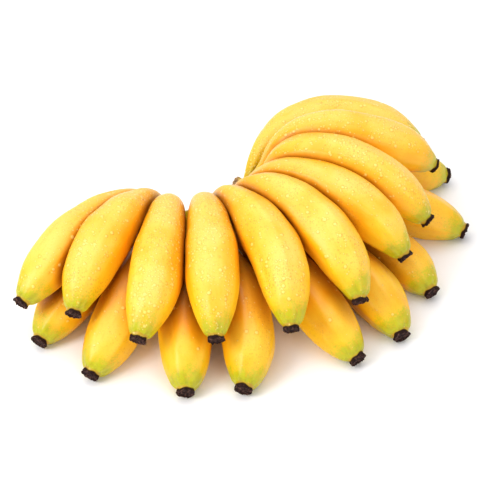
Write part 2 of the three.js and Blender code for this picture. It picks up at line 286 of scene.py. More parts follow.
def closed_skin(name, grid, start, end, layers):
    """A mesh object over a grid, with a point to close each end. layers holds the values to keep on its
    points, each as (value on the grid, at the start, at the end)."""
    rows, columns = grid.shape[:2]
    points = np.vstack([grid.reshape(-1, 3), start, end])
    quads = grid_faces(rows, columns)
    first_fan = fan_faces(0, columns, rows * columns, False)
    last_fan = fan_faces((rows - 1) * columns, columns, rows * columns + 1, True)
    mesh = bpy.data.meshes.new(name)
    mesh.from_pydata(points, [], [*quads.tolist(), *first_fan.tolist(), *last_fan.tolist()])
    for layer, (values, at_start, at_end) in layers.items():
        kind, key = ("FLOAT_VECTOR", "vector") if values.ndim == 3 else ("FLOAT", "value")
        flat = np.concatenate([values.ravel(), np.ravel(at_start), np.ravel(at_end)])
        mesh.attributes.new(layer, kind, "POINT").data.foreach_set(key, flat.astype(np.float32))
    mesh.polygons.foreach_set("use_smooth", np.ones(len(mesh.polygons), bool))
    mesh.update()
    piece = bpy.data.objects.new(name, mesh)
    bpy.context.scene.collection.objects.link(piece)
    return piece


def rows_along(length):
    """Distances of a peel's rows from its root: even ones, then close ones near the blossom end."""
    plain_rows = max(2, int((length - NEAR_TIP) / PLAIN_ROW))
    plain = np.linspace(0.0, length - NEAR_TIP, plain_rows, endpoint=False)
    close = np.linspace(length - NEAR_TIP, length, int(NEAR_TIP / TIP_ROW) + 1)
    return np.concatenate([plain, close])


def peel_relief(grid, along, from_tip, angle, shape):
    """How far a peel stands off its base. Over the body, ridges exp(k (cos 5a - 1)) high, slow dents and
    a fine grain. On the narrow end and the stalk the ridges run together into furrows, as cosines of the
    angle. Before the stub comes a waist, the bell curve exp(-t^2)."""
    phase, seed = shape["ridge_start"], shape["seed"]
    body = smooth_step(*BODY_FROM_ROOT, along) * smooth_step(*BODY_FROM_TIP, from_tip)
    wander = RIDGE_WANDER * np.sin(along / RIDGE_WANDER_LENGTH + phase)
    crest = np.exp(shape["ridge_sharpness"] * (np.cos(RIDGES * (angle + wander) + phase) - 1.0))
    relief = shape["ridge_height"] * body * (crest - RIDGE_MEAN)
    relief = relief + DENT_HEIGHT * wave_noise(grid, DENT_SIZE, seed) * body
    relief = relief + GRAIN_HEIGHT * wave_noise(grid, GRAIN_SIZE, seed + 1) * body
    pleat = smooth_step(*PLEATS_FROM_BODY, from_tip) * smooth_step(*PLEATS_FROM_STUB, from_tip)
    relief = relief + PLEAT_HEIGHT * pleat * np.cos(RIDGES * angle + phase)
    relief = relief + FINE_PLEAT_HEIGHT * pleat * np.cos(FINE_PLEATS * angle + 2.0 * phase)
    stalk = smooth_step(*STALK_FROM_BODY, along)
    relief = relief + STALK_RIDGE_HEIGHT * stalk * np.cos(RIDGES * angle + phase)
    return relief - WAIST_DEPTH * np.exp(-(((from_tip - WAIST_AT) / WAIST_SPREAD) ** 2))


def stub_relief(grid, from_tip, angle, shape):
    """How dry each point is, from 0 on the peel to 1 on the dry stub, and the stub's relief: a groove
    exp(-t^2) deep along its uneven edge, then lumps and knots of noise and splits, a cosine of the
    angle."""
    phase, seed = shape["ridge_start"], shape["seed"]
    sway = STUB_SWAY * np.sin(2.0 * angle + phase) + STUB_RAGS * np.sin(5.0 * angle + seed)
    inside = from_tip - shape["stub_length"] * (1.0 + sway)
    dry = smooth_step(STUB_BLEND, -STUB_BLEND, inside)
    groove = GROOVE_DEPTH * np.exp(-((inside / GROOVE_SPREAD) ** 2))
    lumps = LUMP_HEIGHT * wave_noise(grid, LUMP_SIZE, seed + 2)
    knots = KNOT_HEIGHT * np.abs(wave_noise(grid, KNOT_SIZE, seed + 3))
    crooked = SPLITS * angle + 3.0 * phase + SPLIT_SWAY * np.sin(2.0 * angle)
    splits = SPLIT_HEIGHT * np.cos(crooked)
    return dry, dry * (lumps + knots + splits + STUB_RISE) - groove


def blossom_cap(grid, tip, seed):
    """The rows that close the blossom end, straight lines from its rim to its middle, raised along its
    heading into a torn lip, a hollow and a small knob. Gives how far inwards each row is as a share, the
    rows' points and the middle point."""
    inward = (np.arange(1, END_ROWS) / END_ROWS)[:, None, None]
    share = inward[..., 0]
    heading = grid[-1].mean(axis=0) - grid[-HEADING_ROWS].mean(axis=0)
    heading /= np.linalg.norm(heading)
    cap = grid[-1][None] * (1.0 - inward) + tip[None, None] * inward
    torn = LIP_HEIGHT + TEAR_HEIGHT * wave_noise(cap, TEAR_SIZE, seed + 4)
    lip = np.exp(-(((share - LIP_AT) / LIP_SPREAD) ** 2)) * torn
    knob = KNOB_HEIGHT * smooth_step(*KNOB_EDGE, share)
    crust = CRUST_HEIGHT * wave_noise(cap, CRUST_SIZE, seed + 5) * (1.0 - share)
    cap = cap + heading * (lip + knob + crust)[..., None]
    return inward, cap, tip + heading * KNOB_HEIGHT


def peel_surface(node, number, shape, spines):
    """One banana. Its base is the surface A G B: G is the grid of its solid's ring points, A the cubic
    spline weights along it and B the closed ones round it. The reliefs move it along its normals. Its
    attributes are its straightened place (r cos a, r sin a, distance along), its distances from tip and
    root, how dry and how wet it is, the room beside it and its own tint."""
    rings, root, tip = rings_of(node)
    steps = np.linalg.norm(np.diff(rings, axis=0), axis=2).mean(axis=1)
    stations = np.concatenate([[0.0], np.cumsum(steps)])
    length = stations[-1]
    rows = rows_along(length)
    knots = np.arange(rings.shape[1]) / rings.shape[1]
    turn = np.arange(SIDES_AROUND) / SIDES_AROUND
    lengthwise = spline_weights(stations, rows)
    crosswise = spline_weights(knots, turn, closed=True)
    grid = np.einsum("ik,klc,jl->ijc", lengthwise, rings, crosswise)
    radius = np.linalg.norm(grid - grid.mean(axis=1, keepdims=True), axis=2)
    along = rows[:, None]
    from_tip = length - along
    angle = 2.0 * math.pi * turn[None, :]
    room = room_beside(grid, node, spines)
    dry, stub = stub_relief(grid, from_tip, angle, shape)
    relief = peel_relief(grid, along, from_tip, angle, shape) + stub
    grid = grid + grid_normals(grid) * relief[..., None]
    inward, cap, tip = blossom_cap(grid, tip, shape["seed"])
    grid = np.vstack([grid, cap])
    grid[..., 2] = np.maximum(grid[..., 2], 0.0)

    start = np.array([0.0, 0.0, number * PATTERN_SHIFT])
    round_and_along = [radius * np.cos(angle), radius * np.sin(angle), np.broadcast_to(along, radius.shape)]
    straight = np.stack(round_and_along, axis=-1)
    narrowing = np.repeat(straight[-1:], END_ROWS - 1, axis=0)
    narrowing[..., :2] *= 1.0 - inward
    straight = np.vstack([straight, narrowing]) + start
    end_rows = np.zeros((END_ROWS - 1, SIDES_AROUND))
    from_tip = np.vstack([np.broadcast_to(from_tip, radius.shape), end_rows])
    dry = np.vstack([dry, end_rows + 1.0])
    layers = {
        "straight": (straight, start, start + np.array([0.0, 0.0, length])),
        "from_tip": (from_tip, length, 0.0),
        "from_root": (length - from_tip, 0.0, length),
        "dry": (dry, 0.0, 1.0),
        "room": (np.vstack([room, end_rows + OPEN_ROOM]), OPEN_ROOM, OPEN_ROOM),
        "tint": (np.full(dry.shape, shape["tint"]), shape["tint"], shape["tint"]),
        "wet": (shape["wet"] * (1.0 - dry), shape["wet"], 0.0),
    }
    return closed_skin(f"peel_{node}", grid, root, tip, layers)


# ---------- materials ----------


def linear(color):
    """A colour given as 0 to 255 display values, as linear RGBA."""
    share = np.array(color, float) / 255.0
    value = np.where(share <= 0.04045, share / 12.92, ((share + 0.055) / 1.055) ** 2.4)
    return (*value.tolist(), 1.0)


def new_material(name):
    """A material with its board and its shader."""
    material = bpy.data.materials.new(name)
    material.use_nodes = True
    return material, Board(material.node_tree), material.node_tree.nodes["Principled BSDF"]


class Board:
    """A node tree with short calls for placing and joining nodes."""

    def __init__(self, tree):
        self.tree = tree

    def add(self, kind, inputs=None, **settings):
        """A new node with its settings, its inputs set to values or joined to sockets."""
        node = self.tree.nodes.new(kind)
        for name, value in settings.items():
            setattr(node, name, value)
        for key, value in (inputs or {}).items():
            if isinstance(value, bpy.types.NodeSocket):
                self.tree.links.new(value, node.inputs[key])
            else:
                node.inputs[key].default_value = value
        return node

    def math(self, operation, *values):
        """What a Math node makes of the values."""
        node = self.add("ShaderNodeMath", dict(enumerate(values)), operation=operation)
        return node.outputs[0]

    def total(self, *values):
        """The sum of the values, added from the left."""
        return reduce(lambda first, second: self.math("ADD", first, second), values)

    def product(self, *values):
        """The product of the values, multiplied from the left."""
        return reduce(lambda first, second: self.math("MULTIPLY", first, second), values)

    def step(self, value, low, high, start=0.0, end=1.0):
        """start below low, end above high, smooth between them. Noise lies evenly about 0.5, so there the
        limits say how much of the surface is reached."""
        inputs = {"Value": value, "From Min": low, "From Max": high, "To Min": start, "To Max": end}
        node = self.add("ShaderNodeMapRange", inputs, interpolation_type="SMOOTHSTEP")
        return node.outputs["Result"]

    def mix(self, share, first, second):
        """The first colour with a share of the second."""
        inputs = {0: share, 6: first, 7: second}  # the Mix node's sockets for colours
        return self.add("ShaderNodeMix", inputs, data_type="RGBA", clamp_factor=True).outputs[2]

    def attribute(self, name, vector=False):
        """An attribute of the mesh."""
        node = self.add("ShaderNodeAttribute", attribute_name=name)
        return node.outputs["Vector" if vector else "Fac"]

    def noise(self, vector, scale, detail=2.0, roughness=0.5):
        """Noise of a scale in patches per metre."""
        inputs = {"Vector": vector, "Scale": scale, "Detail": detail, "Roughness": roughness}
        return self.add("ShaderNodeTexNoise", inputs).outputs["Fac"]

    def cells(self, vector, scale):
        """The distance to the middle of a Voronoi cell, and the channels of the cell's random colour."""
        inputs = {"Vector": vector, "Scale": scale, "Randomness": 1.0}
        node = self.add("ShaderNodeTexVoronoi", inputs)
        color = self.add("ShaderNodeSeparateColor", {"Color": node.outputs["Color"]})
        return node.outputs["Distance"], color.outputs

    def stretched(self, vector, squeeze):
        """The vector with its third part squeezed, so that a pattern on it is drawn out lengthwise."""
        inputs = {"Vector": vector, "Scale": (1.0, 1.0, squeeze)}
        return self.add("ShaderNodeMapping", inputs).outputs[0]

    def facing_up(self):
        """How much the surface faces up: the height part of its normal."""
        normal = self.add("ShaderNodeNewGeometry").outputs["Normal"]
        return self.add("ShaderNodeSeparateXYZ", {"Vector": normal}).outputs["Z"]

    def bump(self, height, shader):
        """Turns a height in metres into the shader's normal."""
        inputs = {"Height": height, "Strength": 1.0, "Distance": 1.0}
        node = self.add("ShaderNodeBump", inputs)
        self.tree.links.new(node.outputs["Normal"], shader.inputs["Normal"])


def new_group(name, inputs, outputs):
    """An empty shader node group with sockets named and typed as asked."""
    group = bpy.data.node_groups.new(name, "ShaderNodeTree")
    for title, kind, value in inputs:
        socket = group.interface.new_socket(title, in_out="INPUT", socket_type=kind)
        socket.default_value = value
    for title, kind in outputs:
        group.interface.new_socket(title, in_out="OUTPUT", socket_type=kind)
    board = Board(group)
    return group, board, board.add("NodeGroupInput").outputs, board.add("NodeGroupOutput").inputs


# ---------- the peel's look ----------

# Scales of the patterns, in patches per metre.
DRIFT_SCALE, FIELD_SCALE, RAG_SCALE, STREAK_SCALE = 38.0, 30.0, 130.0, 420.0
CRUST_SCALE, FRECKLE_SCALE, MOTTLE_SCALE, PORE_SCALE = 700.0, 800.0, 900.0, 1300.0
STREAK_SQUEEZE = 0.07  # a streak's width as a share of its length
FRECKLE_REACH, FRECKLE_BLUR = 0.5, 0.12  # a dot's size and soft edge, as shares of its cell
# Distances over which a colour comes in.
# Painted shade near other bananas: the deep colour comes in first, then the brown one where they press.
SHADE_FROM, SHADE_FULL = 15 * MM, 1 * MM
GAP_SHADE_FULL = -0.5 * MM
ROOT_GREEN_FROM, ROOT_GREEN_FULL = 45 * MM, 8 * MM
SCORCH_FROM, SCORCH_FULL = 3.6 * MM, 2.2 * MM
HOLLOW_FROM = 0.9 * MM
# How far patterns move the edge of the green.
RAG_SHIFT, GRAIN_SHIFT, STREAK_SHIFT = 20 * MM, 16 * MM, 4 * MM
SCORCH_RAGS = 0.25  # the share of the ragged edge that the scorched rim follows
DRY_ROUGHNESS = 0.3  # how much rougher the dry stub is than the peel
PORE_HEIGHT, FIBRE_HEIGHT, BARK_HEIGHT = 0.06 * MM, 0.12 * MM, 0.6 * MM


def peel_look():
    """The group that colours a peel: ripe yellow, with painted light that makes it paler where it faces up,
    deeper in drifts and with painted shade near other bananas, with lengthwise streaks, fine mottling and
    small brown freckles. Between bananas that come close or press together the painted shade is brown. The
    blossom end and the stalk are green, the stub black-brown and dry."""
    color, value = "NodeSocketColor", "NodeSocketFloat"
    inputs = [
        ("Ripe", color, (1.0, 0.6, 0.06, 1.0)),
        ("Pale", color, (1.0, 0.75, 0.2, 1.0)),
        ("Deep", color, (0.9, 0.4, 0.02, 1.0)),
        ("Green", color, (0.4, 0.4, 0.03, 1.0)),
        ("Deep Green", color, (0.2, 0.22, 0.0, 1.0)),
        ("Freckle", color, (0.4, 0.15, 0.03, 1.0)),
        # Painted shade between bananas, brown, and below how near another banana it begins.
        ("Bruise", color, (0.2, 0.06, 0.01, 1.0)),
        ("Dry", color, (0.03, 0.015, 0.01, 1.0)),
        ("Dry Pale", color, (0.14, 0.09, 0.08, 1.0)),
        ("Bruise Reach", value, 0.006),
        ("Freckles", value, 0.5),
        ("Green Length", value, 0.02),
        ("Roughness", value, 0.4),
    ]
    outputs = [("Color", color), ("Roughness", value), ("Height", value)]
    group, board, given, result = new_group("Peel Look", inputs, outputs)
    place = board.add("ShaderNodeTexCoord").outputs["Object"]
    straight = board.attribute("straight", vector=True)
    names = ("from_tip", "from_root", "dry", "tint", "room")
    from_tip, from_root, dry, tint, room = (board.attribute(name) for name in names)

    # Painted light: paler where the peel faces up. Deep drifts at random, and painted shade: deeper near
    # another banana.
    drift = board.noise(place, DRIFT_SCALE)
    # Painted light on the tops: the pale colour comes in where the normal points up.
    paler = board.product(board.step(board.facing_up(), 0.25, 1.0), board.step(drift, 0.3, 0.65, 0.45, 1.0))
    base = board.mix(paler, given["Ripe"], given["Pale"])
    # Painted shade: the deep colour comes in where another banana is near.
    shaded = board.step(room, SHADE_FROM, SHADE_FULL, 0.0, 0.95)
    deeper = board.total(board.product(board.step(drift, 0.5, 0.28), 0.45), tint, shaded)
    base = board.mix(deeper, base, given["Deep"])

    # Lengthwise streaks and fine mottling.
    streak = board.noise(board.stretched(straight, STREAK_SQUEEZE), STREAK_SCALE, 3.0)
    base = board.mix(board.step(streak, 0.52, 0.75, 0.0, 0.22), base, given["Deep"])
    base = board.mix(board.step(streak, 0.46, 0.25, 0.0, 0.2), base, given["Pale"])
    mottle = board.noise(place, MOTTLE_SCALE, 2.0, 0.6)
    base = board.mix(board.step(mottle, 0.5, 0.72, 0.0, 0.3), base, given["Deep"])

    # Freckles of many sizes, in some fields only.
    field = board.step(board.noise(place, FIELD_SCALE), 0.47, 0.62)
    distance, draw = board.cells(place, FRECKLE_SCALE)
    inside = board.math("SUBTRACT", distance, board.product(draw[0], FRECKLE_REACH))
    dot = board.step(inside, FRECKLE_BLUR, -FRECKLE_BLUR)
    base = board.mix(board.product(dot, field, given["Freckles"]), base, given["Freckle"])

    # Painted shade between bananas: brown where another banana is close, darkest where they press together.
    painted_gap_shade = board.step(room, given["Bruise Reach"], GAP_SHADE_FULL, 0.0, 0.85)
    base = board.mix(painted_gap_shade, base, given["Bruise"])

    # Green with a ragged, grainy edge at the blossom end, and on the stalk.
    ragged = board.product(board.math("SUBTRACT", board.noise(straight, RAG_SCALE, 3.0), 0.5), RAG_SHIFT)
    grainy = board.product(board.math("SUBTRACT", mottle, 0.5), GRAIN_SHIFT)
    reach = board.total(from_tip, ragged, board.product(streak, STREAK_SHIFT), grainy)
    greening = board.math("DIVIDE", reach, given["Green Length"])
    streaky = board.step(streak, 0.45, 0.7, 0.0, 0.4)
    unevenness = board.total(streaky, board.step(mottle, 0.45, 0.65, 0.0, 0.35))
    green = board.mix(unevenness, given["Green"], given["Deep Green"])
    base = board.mix(board.step(greening, 1.0, 0.3, 0.0, 0.92), base, green)
    base = board.mix(board.step(from_root, ROOT_GREEN_FROM, ROOT_GREEN_FULL, 0.0, 0.55), base, green)

    # A scorched rim, then the dry stub with paler flakes and a dark hollow.
    scorch = board.total(from_tip, board.product(ragged, SCORCH_RAGS))
    base = board.mix(board.step(scorch, SCORCH_FROM, SCORCH_FULL, 0.0, 0.5), base, given["Freckle"])
    crust = board.noise(straight, CRUST_SCALE, 3.0, 0.7)
    flaky = board.product(board.step(crust, 0.45, 0.75), board.step(from_tip, HOLLOW_FROM, 0.0, 0.1, 0.9))
    dry_color = board.mix(flaky, given["Dry"], given["Dry Pale"])
    board.tree.links.new(board.mix(dry, base, dry_color), result["Color"])

    shine = board.total(given["Roughness"], board.step(mottle, 0.3, 0.7, -0.04, 0.05))
    board.tree.links.new(board.total(shine, board.product(dry, DRY_ROUGHNESS)), result["Roughness"])
    pores = board.product(board.noise(place, PORE_SCALE), PORE_HEIGHT)
    fibre = board.product(streak, FIBRE_HEIGHT)
    height = board.total(pores, fibre, board.product(crust, dry, BARK_HEIGHT))
    board.tree.links.new(height, result["Height"])
    return group


# ---------- the dew's look ----------

WET_SCALE = 40.0  # patches per metre
DROP_SIZES = (1.0, 0.55)  # spacing of the coarse and the fine drops, as shares of the one asked for
DROP_LEAST, DROP_MORE = 0.22, 0.28  # a drop's radius, least and what chance adds, as shares of its cell
DOME_HEIGHT = 0.35  # a drop's height as a share of its radius
DROP_EDGE = 0.05  # how high a dome must be to count as a drop


def dew_look():
    """The group that puts drops of water on a peel, where it faces up and is wet: in the cells of a coarse
    and a fine Voronoi pattern, domes sqrt(1 - r^2) high. It gives where the drops are, a painted highlight
    in their middles, painted shade on their rims, and their height."""
    value = "NodeSocketFloat"
    inputs = [("Amount", value, 1.0), ("Size", value, 0.002)]
    outputs = [("Drop", value), ("Bright", value), ("Rim", value), ("Height", value)]
    group, board, given, result = new_group("Dew Look", inputs, outputs)
    place = board.add("ShaderNodeTexCoord").outputs["Object"]
    wet_top = board.product(board.step(board.facing_up(), 0.25, 0.8), board.attribute("wet"))
    spread = board.step(board.noise(place, WET_SCALE), 0.3, 0.55, 0.35, 1.0)
    chance = board.product(wet_top, board.product(spread, given["Amount"]))
    drops, domes, heights = [], [], []
    for share in DROP_SIZES:
        scale = board.math("DIVIDE", 1.0, board.product(given["Size"], share))
        distance, draw = board.cells(place, scale)
        there = board.math("LESS_THAN", draw[1], chance)
        edge = board.math("MULTIPLY_ADD", draw[0], DROP_MORE, DROP_LEAST)
        off = board.math("DIVIDE", distance, edge)
        dome = board.math("MAXIMUM", board.math("SUBTRACT", 1.0, board.product(off, off)), 0.0)
        dome = board.product(board.math("SQRT", dome), there)
        domes.append(dome)
        heights.append(board.product(dome, board.product(edge, given["Size"], share * DOME_HEIGHT)))
        drops.append(board.math("GREATER_THAN", dome, DROP_EDGE))
    drop = board.math("MAXIMUM", *drops)
    dome = board.math("MAXIMUM", *domes)
    board.tree.links.new(drop, result["Drop"])
    # Painted highlight in the middles of the drops, painted shade on their rims.
    board.tree.links.new(board.step(dome, 0.45, 0.95), result["Bright"])
    board.tree.links.new(board.product(board.step(dome, 0.7, 0.2), drop), result["Rim"])
    board.tree.links.new(board.math("MAXIMUM", *heights), result["Height"])
    return group


def shared_group(title, maker):
    """The node group of that name, made by maker the first time."""
    return bpy.data.node_groups.get(title) or maker()


def place_group(board, group, inputs):
    """A group put on the board with its inputs set, as the outputs to join."""
    node = board.add("ShaderNodeGroup", node_tree=group)
    for name, value in inputs.items():
        node.inputs[name].default_value = value
    return node.outputs


RIM_SHADE, DROP_GLINT = 0.7, 0.42  # how strongly the painted shade on a drop's rim and the painted highlight in its middle show
DROP_GLOSS = 0.2  # how much smoother a drop is than the peel
WAX, WAX_ROUGHNESS, PEEL_SPECULAR = 0.55, 0.34, 0.15
GLOW_RADIUS, GLOW_DEPTH = (1.0, 0.45, 0.1), 2.5 * MM


def peel_material(name, colors, own):
    """The finish of one row's peel, from the shared groups and the row's own values."""
    material, board, shader = new_material(name)
    shared = {
        "Green": tuple(colors.green),
        "Deep Green": tuple(colors.green_deep),
        "Freckle": tuple(colors.freckle),
        "Dry": tuple(colors.dry),
        "Dry Pale": tuple(colors.dry_pale),
        "Green Length": colors.green_length,
        "Roughness": colors.roughness,
    }
    peel = place_group(board, shared_group("Peel Look", peel_look), {**shared, **own})
    dew = {"Amount": colors.dew, "Size": colors.drop_size}
    drops = place_group(board, shared_group("Dew Look", dew_look), dew)
    links = material.node_tree.links
    # Painted shade on the rims of the drops, and a painted highlight of the drop colour in their middles.
    rim_shaded = board.mix(board.product(drops["Rim"], RIM_SHADE), peel["Color"], own["Deep"])
    wet = board.mix(board.product(drops["Bright"], DROP_GLINT), rim_shaded, tuple(colors.drop))
    links.new(wet, shader.inputs["Base Color"])
    smooth = board.math("SUBTRACT", peel["Roughness"], board.product(drops["Drop"], DROP_GLOSS))
    links.new(smooth, shader.inputs["Roughness"])
    waxy = board.step(board.attribute("dry"), 0.5, 0.0, 0.0, WAX)
    links.new(waxy, shader.inputs["Coat Weight"])
    shader.inputs["Coat Roughness"].default_value = WAX_ROUGHNESS
    shader.inputs["Specular IOR Level"].default_value = PEEL_SPECULAR
    shader.inputs["Subsurface Weight"].default_value = colors.glow
    shader.inputs["Subsurface Radius"].default_value = GLOW_RADIUS
    shader.inputs["Subsurface Scale"].default_value = GLOW_DEPTH
    board.bump(board.total(peel["Height"], drops["Height"]), shader)
    return material


WOOD_SCALE, PATCH_SCALE, CORK_SCALE = 900.0, 110.0, 480.0  # patches per metre
WOOD_SQUEEZE = 0.12
WOOD_HEIGHT, CORK_HEIGHT, CUT_HEIGHT = 0.35 * MM, 0.2 * MM, 0.6 * MM


def crown_material(colors):
    """Fibrous stalk tissue: green-brown with lengthwise fibres, darker and corky where it was cut."""
    material, board, shader = new_material("crown skin")
    place = board.add("ShaderNodeTexCoord").outputs["Object"]
    cut = board.attribute("cut")
    straight = board.attribute("straight", vector=True)
    fibre = board.noise(board.stretched(straight, WOOD_SQUEEZE), WOOD_SCALE, 4.0, 0.6)
    patch = board.noise(place, PATCH_SCALE, 3.0)
    cork = board.noise(place, CORK_SCALE, 4.0, 0.7)
    skin = board.mix(board.step(patch, 0.4, 0.65), tuple(colors.skin), tuple(colors.skin_green))
    skin = board.mix(board.step(fibre, 0.5, 0.72, 0.0, 0.6), skin, tuple(colors.cut_dark))
    face = board.mix(board.step(cork, 0.35, 0.7), tuple(colors.cut_pale), tuple(colors.cut_dark))
    links = material.node_tree.links
    links.new(board.mix(cut, skin, face), shader.inputs["Base Color"])
    links.new(board.step(fibre, 0.3, 0.7, 0.62, 0.85), shader.inputs["Roughness"])
    rough = board.product(cork, board.math("MULTIPLY_ADD", cut, CUT_HEIGHT, CORK_HEIGHT))
    board.bump(board.total(board.product(fibre, WOOD_HEIGHT), rough), shader)
    return material


FLOOR_SCALE = 60.0  # patches per metre
FLOOR_SHADE = 0.985  # how light the darker patches are beside the others
FLOOR_ROUGHNESS, FLOOR_SPECULAR = 0.9, 0.1


def floor_material(color):
    """Matt white board with a trace of unevenness."""
    material, board, shader = new_material("studio board")
    place = board.add("ShaderNodeTexCoord").outputs["Object"]
    grain = board.noise(place, FLOOR_SCALE)
    darker = tuple(FLOOR_SHADE * part for part in color[:3]) + (1.0,)
    tone = board.mix(board.step(grain, 0.4, 0.6), tuple(color), darker)
    material.node_tree.links.new(tone, shader.inputs["Base Color"])
    shader.inputs["Roughness"].default_value = FLOOR_ROUGHNESS
    shader.inputs["Specular IOR Level"].default_value = FLOOR_SPECULAR
    return material


# ---------- settings ----------


def color_setting(name, description, display):
    """A colour with its default given as 0 to 255 display values."""
    return bpy.props.FloatVectorProperty(
        name=name, description=description, default=linear(display), size=4, min=0.0, max=1.0, subtype="COLOR"
    )


def length_setting(name, description, millimetres):
    """A length with its default given in millimetres."""
    length = millimetres * MM
    return bpy.props.FloatProperty(
        name=name, description=description, default=length, min=0.0, precision=5, unit="LENGTH"
    )


def share_setting(name, description, share):
    """A share from 0 to 1."""
    return bpy.props.FloatProperty(
        name=name, description=description, default=share, min=0.0, max=1.0, subtype="FACTOR"
    )


def power_setting(name, description, watts):
    """A lamp's power, with its default in watts."""
    return bpy.props.FloatProperty(name=name, description=description, default=watts, min=0.0, unit="POWER")


class PeelSettings(bpy.types.PropertyGroup):
    """The colours and finish of each row of bananas, and what both rows share."""

    upper_ripe: color_setting("Upper, ripe", "Main colour of the upper row's peel", (250, 199, 28))
    # The pale colour is also painted light on the tops.
    upper_pale: color_setting("Upper, pale", "Colour of its paler tops and drifts", (253, 207, 96))
    # The deep colour is also painted shade near other bananas.
    upper_deep: color_setting("Upper, deep", "Colour of its riper drifts and streaks", (250, 170, 4))
    # Painted shade between the upper row's bananas.
    upper_bruise: color_setting("Upper, bruise", "Its colour where bananas press together", (150, 76, 8))
    lower_ripe: color_setting("Lower, ripe", "Main colour of the lower row's peel", (250, 198, 18))
    # The pale colour is also painted light on the tops.
    lower_pale: color_setting("Lower, pale", "Colour of its paler tops and drifts", (253, 206, 72))
    # The deep colour is also painted shade near other bananas.
    lower_deep: color_setting("Lower, deep", "Colour of its riper drifts and streaks", (250, 167, 2))
    # Painted shade between the lower row's bananas.
    lower_bruise: color_setting("Lower, bruise", "Its colour where bananas press together", (112, 52, 5))
    green: color_setting("Green", "Colour by the blossom end and on the stalk", (182, 182, 0))
    green_deep: color_setting("Green, deep", "Colour of its darker streaks and grains", (138, 142, 0))
    freckle: color_setting("Freckle", "Colour of the small brown dots", (196, 118, 34))
    dry: color_setting("Dry", "Colour of the dry blossom stub", (34, 16, 13))
    dry_pale: color_setting("Dry, pale", "Colour of the flakes on the dry stub", (118, 84, 74))
    green_length: length_setting("Green length", "How far the green reaches from the blossom end", 23)
    upper_ridge: length_setting("Upper ridges", "Height of the ridges of the upper row", 0.55)
    lower_ridge: length_setting("Lower ridges", "Height of the ridges of the lower row", 0.9)
    stub_length: length_setting("Stub length", "Length of the dry blossom stub", 1.9)
    # The drop colour is a painted highlight in the middle of each dew drop.
    drop: color_setting("Drop", "Colour seen through the middle of a drop", (255, 238, 140))
    drop_size: length_setting("Drop spacing", "Spacing of the largest dew drops", 3.1)
    dew: share_setting("Dew", "How many drops of dew lie on the peel", 0.9)
    roughness: share_setting("Roughness", "Roughness of the peel", 0.5)
    glow: share_setting("Glow", "How much light passes through the outer peel", 0.06)
    upper_freckles: share_setting("Upper freckles", "Strength of the freckles on the upper row", 0.4)
    lower_freckles: share_setting("Lower freckles", "Strength of the freckles on the lower row", 0.22)


class CrownSettings(bpy.types.PropertyGroup):
    """The crown that the stalks grow from."""

    skin: color_setting("Skin", "Main colour of the crown", (188, 152, 66))
    skin_green: color_setting("Green skin", "Colour of its greener patches", (204, 178, 56))
    cut_pale: color_setting("Cut, pale", "Paler colour of the cut inner side", (176, 138, 84))
    cut_dark: color_setting("Cut, dark", "Darker colour of the cut and of the fibres", (92, 66, 42))
    fibre_height: length_setting("Fibre height", "Height of the fibres and knots", 0.5)


class StageSettings(bpy.types.PropertyGroup):
    """The floor, the lights and the camera."""

    floor: color_setting("Floor", "Colour of the floor", (250, 249, 250))
    floor_size: length_setting("Floor size", "Side of the square floor", 6000)
    sky: bpy.props.FloatProperty(
        name="Sky strength", description="Strength of the even white light", default=0.64, min=0.0
    )
    key_power: power_setting("Key power", "Power of the large soft light", 8.0)
    top_power: power_setting("Top power", "Power of the light overhead", 10.5)
    fill_power: power_setting("Fill power", "Power of the light in front", 2.6)
    elevation: bpy.props.FloatProperty(
        name="Camera elevation",
        description="How far the camera looks down",
        default=math.radians(42.0),
        subtype="ANGLE",
    )
    distance: length_setting("Camera distance", "From the camera to what it looks at", 900)
    lens: bpy.props.FloatProperty(
        name="Lens", description="Focal length on a 36 mm sensor", default=104.0, min=1.0, unit="CAMERA"
    )


# ---------- rows ----------


# The least and most that chance makes of each measure of a banana.
RIDGE_SHARES = (0.8, 1.2)
RIDGE_SHARPNESS = (1.6, 2.6)
STUB_SHARES = (0.9, 1.1)

# A row's nodes, how close another banana is where the brown painted shade between bananas begins, the first
# banana's seed, and from the left how wet each banana is and how much deeper its yellow is.
SEED_STEP = 10
ROWS = {
    "upper": (
        UPPER_NODES,
        6.5 * MM,
        100,
        (0.3, 0.8, 1.0, 1.0, 0.5, 0.35, 0.4, 0.8, 0.9, 0.6),
        (0.06, 0.12, 0.05, 0.1, 0.02, 0.04, 0.04, 0.08, 0.12, 0.14),
    ),
    "lower": (
        LOWER_NODES,
        11 * MM,
        500,
        (0.15, 0.1, 0.05, 0.1, 0.05, 0.1, 0.15, 0.1, 0.2),
        (0.1, 0.14, 0.08, 0.1, 0.12, 0.1, 0.12, 0.16, 0.14),
    ),
}


def row_material(row, gap_shade_reach):
    """The peel material of the row called upper or lower, from the settings that begin with its name."""
    colors = bpy.context.scene.banana_peel
    parts = ("ripe", "pale", "deep", "bruise")
    own = {part.title(): tuple(getattr(colors, f"{row}_{part}")) for part in parts}
    own["Bruise Reach"] = gap_shade_reach
    own["Freckles"] = getattr(colors, f"{row}_freckles")
    return peel_material(f"{row} peel", colors, own)


